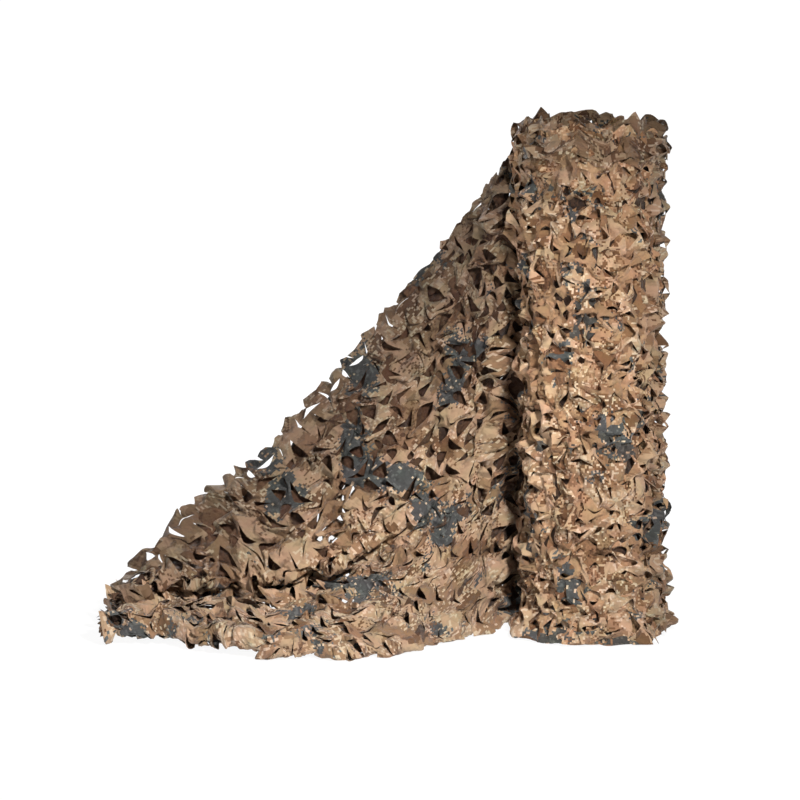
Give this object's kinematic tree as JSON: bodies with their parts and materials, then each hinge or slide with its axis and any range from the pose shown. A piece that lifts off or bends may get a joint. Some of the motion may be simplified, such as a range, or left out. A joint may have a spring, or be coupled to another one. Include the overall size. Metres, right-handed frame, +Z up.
{
  "type": "camouflage netting",
  "caption": "Roll of leaf-cut camouflage net standing on end, its loose end falling from the top of the roll into a folded heap on the floor.",
  "frame": {"origin": "centre of the roll's flat foot, on the floor", "axes": "+Z up along the roll; the loose end is drawn off towards -X; its train spreads towards -Y, the front"},
  "size_m": [1.665, 0.6824, 1.5099],
  "materials": {
    "rolled_net": "printed woven cloth, matt, cut into leaves",
    "loose_net": "printed woven cloth, matt, cut into leaves"
  },
  "bodies": {
    "root": {"net_roll": "rolled_net", "loose_end": "loose_net"}
  },
  "joints": []
}
